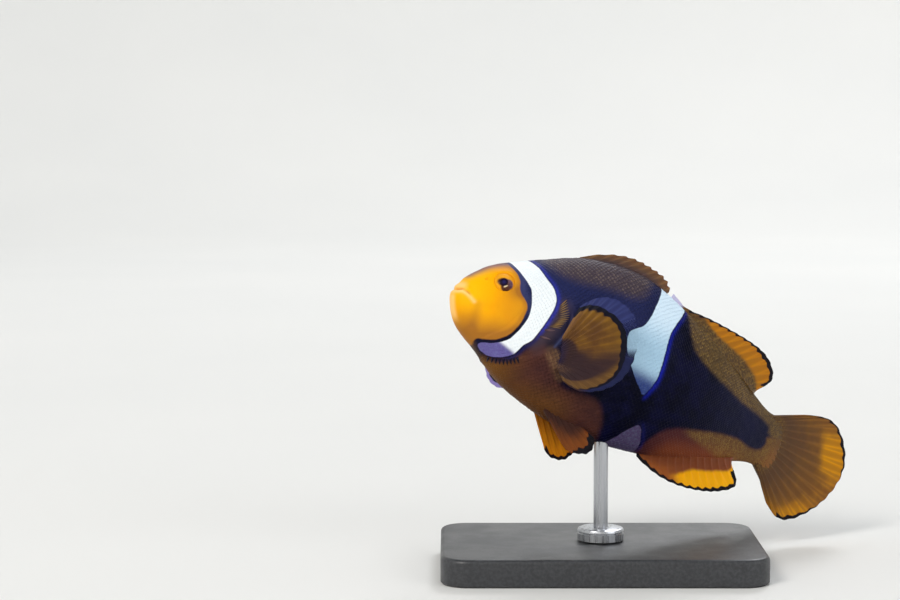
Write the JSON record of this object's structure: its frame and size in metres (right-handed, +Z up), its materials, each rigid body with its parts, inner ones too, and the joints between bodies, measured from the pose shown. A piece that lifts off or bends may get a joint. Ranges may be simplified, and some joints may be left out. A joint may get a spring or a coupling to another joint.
{
  "type": "clownfish",
  "caption": "Life-size still model of a dark clownfish with white bars, orange face and fins, swimming nose-up with its tail curved, on a flat base with one rod.",
  "frame": {"origin": "middle of the underside of the stand's base", "axes": "+Z up, the fish's snout towards -X and a little towards -Y, its left side towards -Y"},
  "size_m": [0.0783, 0.0502, 0.0567],
  "materials": {
    "skin": "moist, finely scaled skin: orange face, white bars edged in blue-black, black to brown body",
    "fin": "thin rayed membrane, orange to brown with a black margin, clear at the pectoral's edge",
    "eye": "wet gloss, dark pupil in an orange-brown iris",
    "stand_base": "satin charcoal paint",
    "stand_steel": "brushed"
  },
  "bodies": {
    "root": {"head": "skin", "lower_jaw": "skin", "gill_cover_left": "skin", "gill_cover_right": "skin", "trunk": "skin", "tail": "skin", "eye_left": "eye", "eye_right": "eye", "dorsal_fin_spiny": "fin", "dorsal_fin_soft": "fin", "anal_fin": "fin", "pelvic_fin_left": "fin", "pelvic_fin_right": "fin", "pectoral_fin_left": "fin", "pectoral_fin_right": "fin", "caudal_fin": "fin", "stand_base": "stand_base", "stand_rod": "stand_steel", "stand_collar": "stand_steel"}
  },
  "joints": []
}
